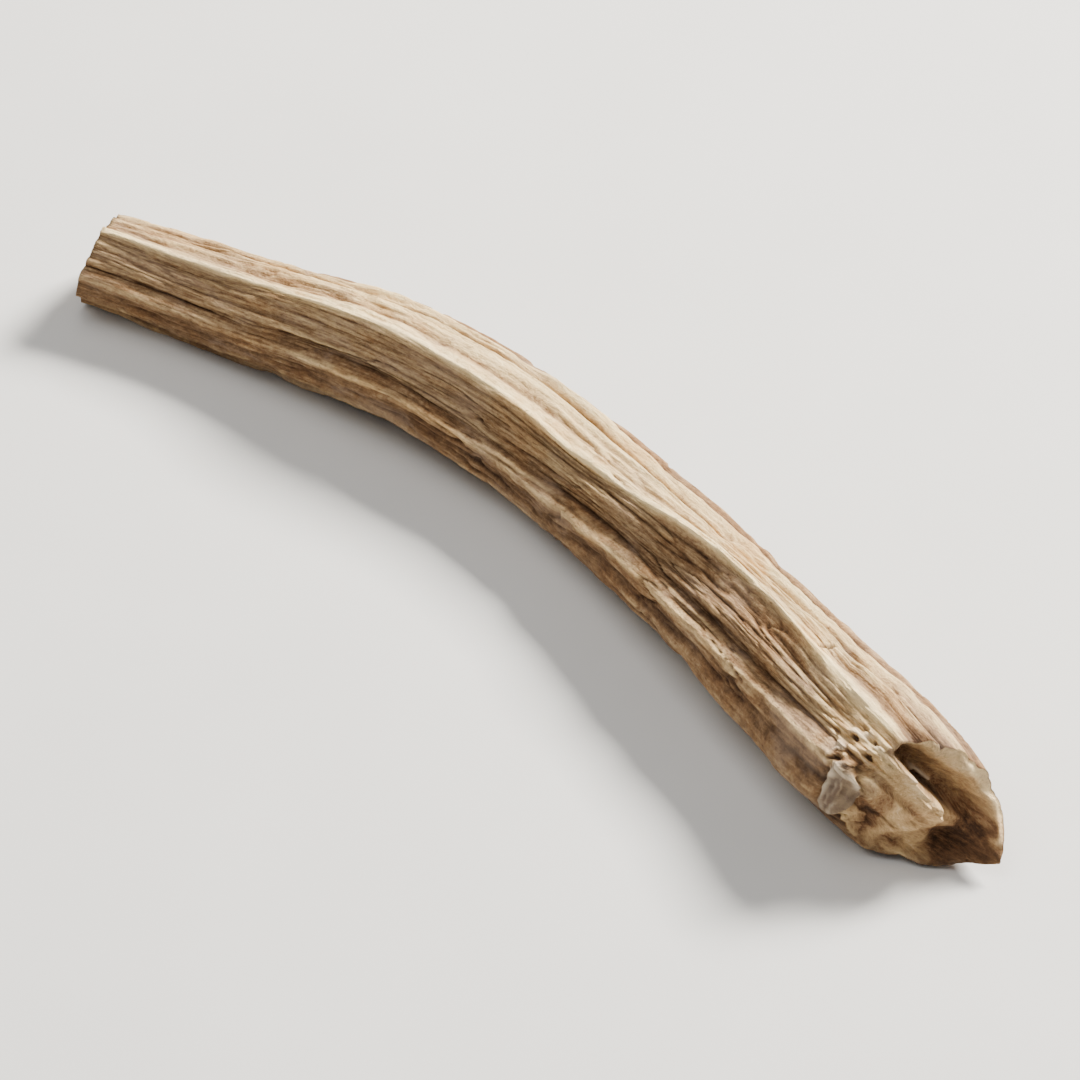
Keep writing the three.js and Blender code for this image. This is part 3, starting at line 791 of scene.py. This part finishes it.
class Nodes:
    """Short names for building a material's nodes."""

    def __init__(self, name):
        self.material = bpy.data.materials.new(name)
        self.material.use_nodes = True
        self.tree = self.material.node_tree
        self.shader = self.tree.nodes["Principled BSDF"]

    def add(self, kind, **settings):
        node = self.tree.nodes.new(kind)
        for key, value in settings.items():
            setattr(node, key, value)
        return node

    def link(self, source, target):
        self.tree.links.new(source, target)

    def feed(self, target, value):
        if isinstance(value, bpy.types.NodeSocket):
            self.link(value, target)
        else:
            target.default_value = value

    def attribute(self, name, output="Fac"):
        return self.add("ShaderNodeAttribute", attribute_name=name).outputs[output]

    def math(self, operation, a, b, clamp=False):
        node = self.add("ShaderNodeMath", operation=operation, use_clamp=clamp)
        self.feed(node.inputs[0], a)
        self.feed(node.inputs[1], b)
        return node.outputs[0]

    def plus(self, a, b):
        return self.math("ADD", a, b)

    def times(self, a, b, clamp=False):
        return self.math("MULTIPLY", a, b, clamp)

    def swing(self, value, size, about=0.5):
        """The value's swing about a middle, times a size."""
        return self.times(self.math("SUBTRACT", value, about), size)

    def noise(self, vector, stretch, detail, roughness=0.55):
        """Noise of a vector, with so many waves to each unit of its x, y and z."""
        mapping = self.add("ShaderNodeMapping")
        self.feed(mapping.inputs["Vector"], vector)
        mapping.inputs["Scale"].default_value = stretch
        node = self.add("ShaderNodeTexNoise")
        self.link(mapping.outputs[0], node.inputs["Vector"])
        node.inputs["Scale"].default_value = 1.0
        node.inputs["Detail"].default_value = detail
        node.inputs["Roughness"].default_value = roughness
        return node.outputs["Fac"]

    def ramp(self, value, stops):
        node = self.add("ShaderNodeValToRGB")
        self.feed(node.inputs["Fac"], value)
        elements = node.color_ramp.elements
        while len(elements) < len(stops):
            elements.new(0.5)
        for element, (position, colour) in zip(elements, stops):
            element.position = position
            element.color = (*colour, 1)
        return node.outputs["Color"]

    def span(self, value, low, high):
        """0 up to low, 1 from high on."""
        node = self.add("ShaderNodeMapRange", interpolation_type="SMOOTHSTEP")
        self.feed(node.inputs["Value"], value)
        node.inputs["From Min"].default_value = low
        node.inputs["From Max"].default_value = high
        return node.outputs[0]

    def mix(self, share, a, b, blend="MIX"):
        """The colour a with a share of b, which are sockets or plain colours."""
        node = self.add("ShaderNodeMix", data_type="RGBA", blend_type=blend)
        self.feed(node.inputs["Factor"], share)
        for socket, value in ((node.inputs[6], a), (node.inputs[7], b)):
            self.feed(socket, value if isinstance(value, bpy.types.NodeSocket) else (*value, 1))
        return node.outputs[2]


def colour(red, green, blue):
    """A screen colour, 0 to 255, as the linear colour that a shader takes."""
    return tuple(c / 12.92 if c <= 0.04045 else ((c + 0.055) / 1.055) ** 2.4
                 for c in (red / 255, green / 255, blue / 255))


# Colours of the skin, from pale to dark. The dark end also paints shade in the furrows, and the pale end a
# highlight on the crests.
PALE = colour(250, 223, 168)
CREAM = colour(229, 197, 144)
TAN = colour(184, 153, 112)
BROWN = colour(139, 108, 76)
UMBER = colour(100, 74, 50)
DARK = colour(62, 41, 26)
SKIN_RAMP = [(0.0, PALE), (0.2, CREAM), (0.42, TAN), (0.62, BROWN), (0.82, UMBER), (1.0, DARK)]

# Colours of its blotches, specks and stains, and of the papery patch
LILAC_GREY = colour(194, 170, 148)
WARM_STAIN = colour(232, 200, 158)
SPECK = colour(92, 64, 42)
IVORY = colour(246, 226, 196)
PAPER = colour(116, 100, 86)

# Colours of the broken flesh
FLESH_PALE = colour(238, 210, 164)
FLESH = colour(206, 170, 122)
OCHRE = colour(168, 134, 94)
INNER_BROWN = colour(118, 84, 56)
FLESH_RAMP = [(0.0, FLESH_PALE), (0.28, FLESH), (0.52, OCHRE), (0.78, INNER_BROWN), (1.0, DARK)]

ROUGHNESS_RAMP = [(0.0, (0.8, 0.8, 0.8)), (1.0, (0.95, 0.95, 0.95))]  # crests to furrows
SHEEN = 0.25
BUMP_DISTANCE = 0.00022  # in metres
FLOOR_RAMP = [(0.3, (0.72, 0.715, 0.70)), (0.7, (0.75, 0.745, 0.73))]
FLOOR_ROUGHNESS = 0.9
FLOOR_SIZE = 3


def skin_colour(n, depth, blotches, mottle, dust):
    """The skin's colour from pale to dark, with painted shade in the furrows and a painted highlight on the
    crests, and with greyish and warm blotches and dark specks.
    """
    skin = n.ramp(depth, SKIN_RAMP)
    greyed = n.mix(n.times(n.span(blotches, 0.5, 0.62), 0.16), skin, LILAC_GREY)
    warmed = n.mix(n.times(n.span(blotches, 0.5, 0.38), 0.35), greyed, WARM_STAIN, "MULTIPLY")
    specks = n.times(n.span(dust, 0.6, 0.7), n.span(mottle, 0.45, 0.6))
    return n.mix(n.times(specks, 0.55), warmed, SPECK)


def flesh_colour(n, tone, mottle, dust):
    inner = n.plus(n.times(tone, 0.95), n.swing(mottle, 0.9))
    return n.ramp(n.plus(inner, n.swing(dust, 0.6)), FLESH_RAMP)


def stained_and_shaded(n, surface, stain_and_shade):
    """The surface with the dark marks, which are below 0 and are partly stains and partly painted shade, and
    the pale ones.
    """
    dark = n.times(stain_and_shade, -1.0, clamp=True)
    pale = n.times(stain_and_shade, 1.0, clamp=True)
    darkened = n.mix(n.times(dark, 0.85), surface, DARK)
    return n.mix(n.times(pale, 0.75), darkened, IVORY)


def root_material():
    n = Nodes("dried_root")
    place = n.attribute("skin_place", "Vector")
    relief_shade, tone, stain_and_shade = n.attribute("relief_shade"), n.attribute("tone"), n.attribute("stain_and_shade")
    flesh, papery = n.attribute("flesh"), n.attribute("papery")

    fibres = n.noise(place, (5.5, 5.5, 0.6), detail=4, roughness=0.65)
    streaks = n.noise(place, (1.9, 1.9, 0.16), detail=4, roughness=0.6)
    blotches = n.noise(place, (0.32, 0.32, 0.16), detail=4, roughness=0.65)
    mottle = n.noise(place, (1.8, 1.8, 1.1), detail=5, roughness=0.75)
    dust = n.noise(place, (5.0, 5.0, 3.4), detail=3, roughness=0.7)

    # depth: the tone, with painted shade in the furrows and a painted highlight on the crests from how deep
    # each point lies, and noise
    depth = n.plus(n.times(tone, 0.85), n.swing(relief_shade, 0.55, about=0.42))
    for value, size in ((streaks, 0.5), (fibres, 0.5), (mottle, 0.55), (dust, 0.35)):
        depth = n.plus(depth, n.swing(value, size))
    skin = skin_colour(n, depth, blotches, mottle, dust)
    surface = n.mix(flesh, skin, flesh_colour(n, tone, mottle, dust))
    surface = n.mix(n.times(papery, 0.8, clamp=True), surface, PAPER)
    n.link(stained_and_shaded(n, surface, stain_and_shade), n.shader.inputs["Base Color"])
    n.link(n.ramp(depth, ROUGHNESS_RAMP), n.shader.inputs["Roughness"])
    n.shader.inputs["Specular IOR Level"].default_value = SHEEN

    height = n.plus(n.times(fibres, 0.5), n.times(mottle, 0.8))
    height = n.plus(height, n.times(dust, 0.5))
    bump = n.add("ShaderNodeBump")
    bump.inputs["Strength"].default_value = 1.0
    bump.inputs["Distance"].default_value = BUMP_DISTANCE
    n.link(height, bump.inputs["Height"])
    n.link(bump.outputs[0], n.shader.inputs["Normal"])
    return n.material


def floor_material():
    n = Nodes("floor_paper")
    position = n.add("ShaderNodeNewGeometry").outputs["Position"]
    cloud = n.noise(position, (60, 60, 60), detail=3)
    n.link(n.ramp(cloud, FLOOR_RAMP), n.shader.inputs["Base Color"])
    n.shader.inputs["Roughness"].default_value = FLOOR_ROUGHNESS
    return n.material


def direction(azimuth, elevation):
    """The way from the part to a viewer at that azimuth and elevation."""
    a, e = math.radians(azimuth), math.radians(elevation)
    return Vector((math.sin(a) * math.cos(e), -math.cos(a) * math.cos(e), math.sin(e)))


def aim(thing, where, target):
    thing.location = where
    thing.rotation_euler = (target - where).to_track_quat("-Z", "Y").to_euler()


VIEW = direction(azimuth=46, elevation=45)
RIGHT = (-VIEW).cross(Vector((0, 0, 1))).normalized()
UP = RIGHT.cross(-VIEW).normalized()
LENS, SENSOR = 280, 36  # in millimetres
FILL = 0.86  # share of the frame that the piece fills
FIRST_TARGET, FIRST_DISTANCE = Vector((0, 0, 0.004)), 0.3  # in metres
FRAMING_ROUNDS = 6  # in which the camera closes in on the filled frame


def add_camera(piece):
    """The camera on the photo's line of sight, with the piece filling the frame."""
    camera = bpy.data.objects.new("camera", bpy.data.cameras.new("camera"))
    camera.data.lens, camera.data.sensor_width = LENS, SENSOR
    camera.data.clip_start, camera.data.clip_end = 0.01, 10
    bpy.context.collection.objects.link(camera)
    bpy.context.scene.camera = camera
    points = np.empty(len(piece.data.vertices) * 3)
    piece.data.vertices.foreach_get("co", points)
    points = points.reshape(-1, 3)
    target, distance = FIRST_TARGET, FIRST_DISTANCE
    for _ in range(FRAMING_ROUNDS):
        off = points - np.array(target + VIEW * distance)
        depth = -(off @ np.array(VIEW))
        across, up = off @ np.array(RIGHT) / depth, off @ np.array(UP) / depth
        middle = ((across.min() + across.max()) / 2, (up.min() + up.max()) / 2)
        target = target + RIGHT * middle[0] * distance + UP * middle[1] * distance
        size = max(np.ptp(across), np.ptp(up))
        distance *= size / (FILL * SENSOR / LENS)
    aim(camera, target + VIEW * distance, target)
    return target


def add_light(name, target, side, up, towards, size, power, tint):
    """A square soft box. Its place is in metres to the view's right, up and towards the viewer."""
    lamp = bpy.data.lights.new(name, "AREA")
    lamp.shape, lamp.size = "SQUARE", size
    lamp.energy, lamp.color = power, tint
    light = bpy.data.objects.new(name, lamp)
    bpy.context.collection.objects.link(light)
    aim(light, target + RIGHT * side + UP * up + VIEW * towards, target)


def add_world(strength):
    """An even white light from all round."""
    world = bpy.data.worlds.new("studio")
    bpy.context.scene.world = world
    world.use_nodes = True
    world.node_tree.nodes["Background"].inputs["Color"].default_value = (1, 1, 1, 1)
    world.node_tree.nodes["Background"].inputs["Strength"].default_value = strength


piece = root_piece()
piece.data.materials.append(root_material())
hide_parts("root")
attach(piece, "root")

bpy.ops.mesh.primitive_plane_add(size=FLOOR_SIZE)
floor = bpy.context.object
floor.name = "floor"
floor.data.materials.append(floor_material())

middle = add_camera(piece)
add_light("key", middle, side=0.34, up=0.42, towards=0.06, size=0.16, power=13.0, tint=(1.0, 0.955, 0.88))
add_light("fill", middle, side=-0.12, up=0.32, towards=0.38, size=0.45, power=1.7, tint=(1.0, 0.98, 0.95))
add_world(strength=0.18)
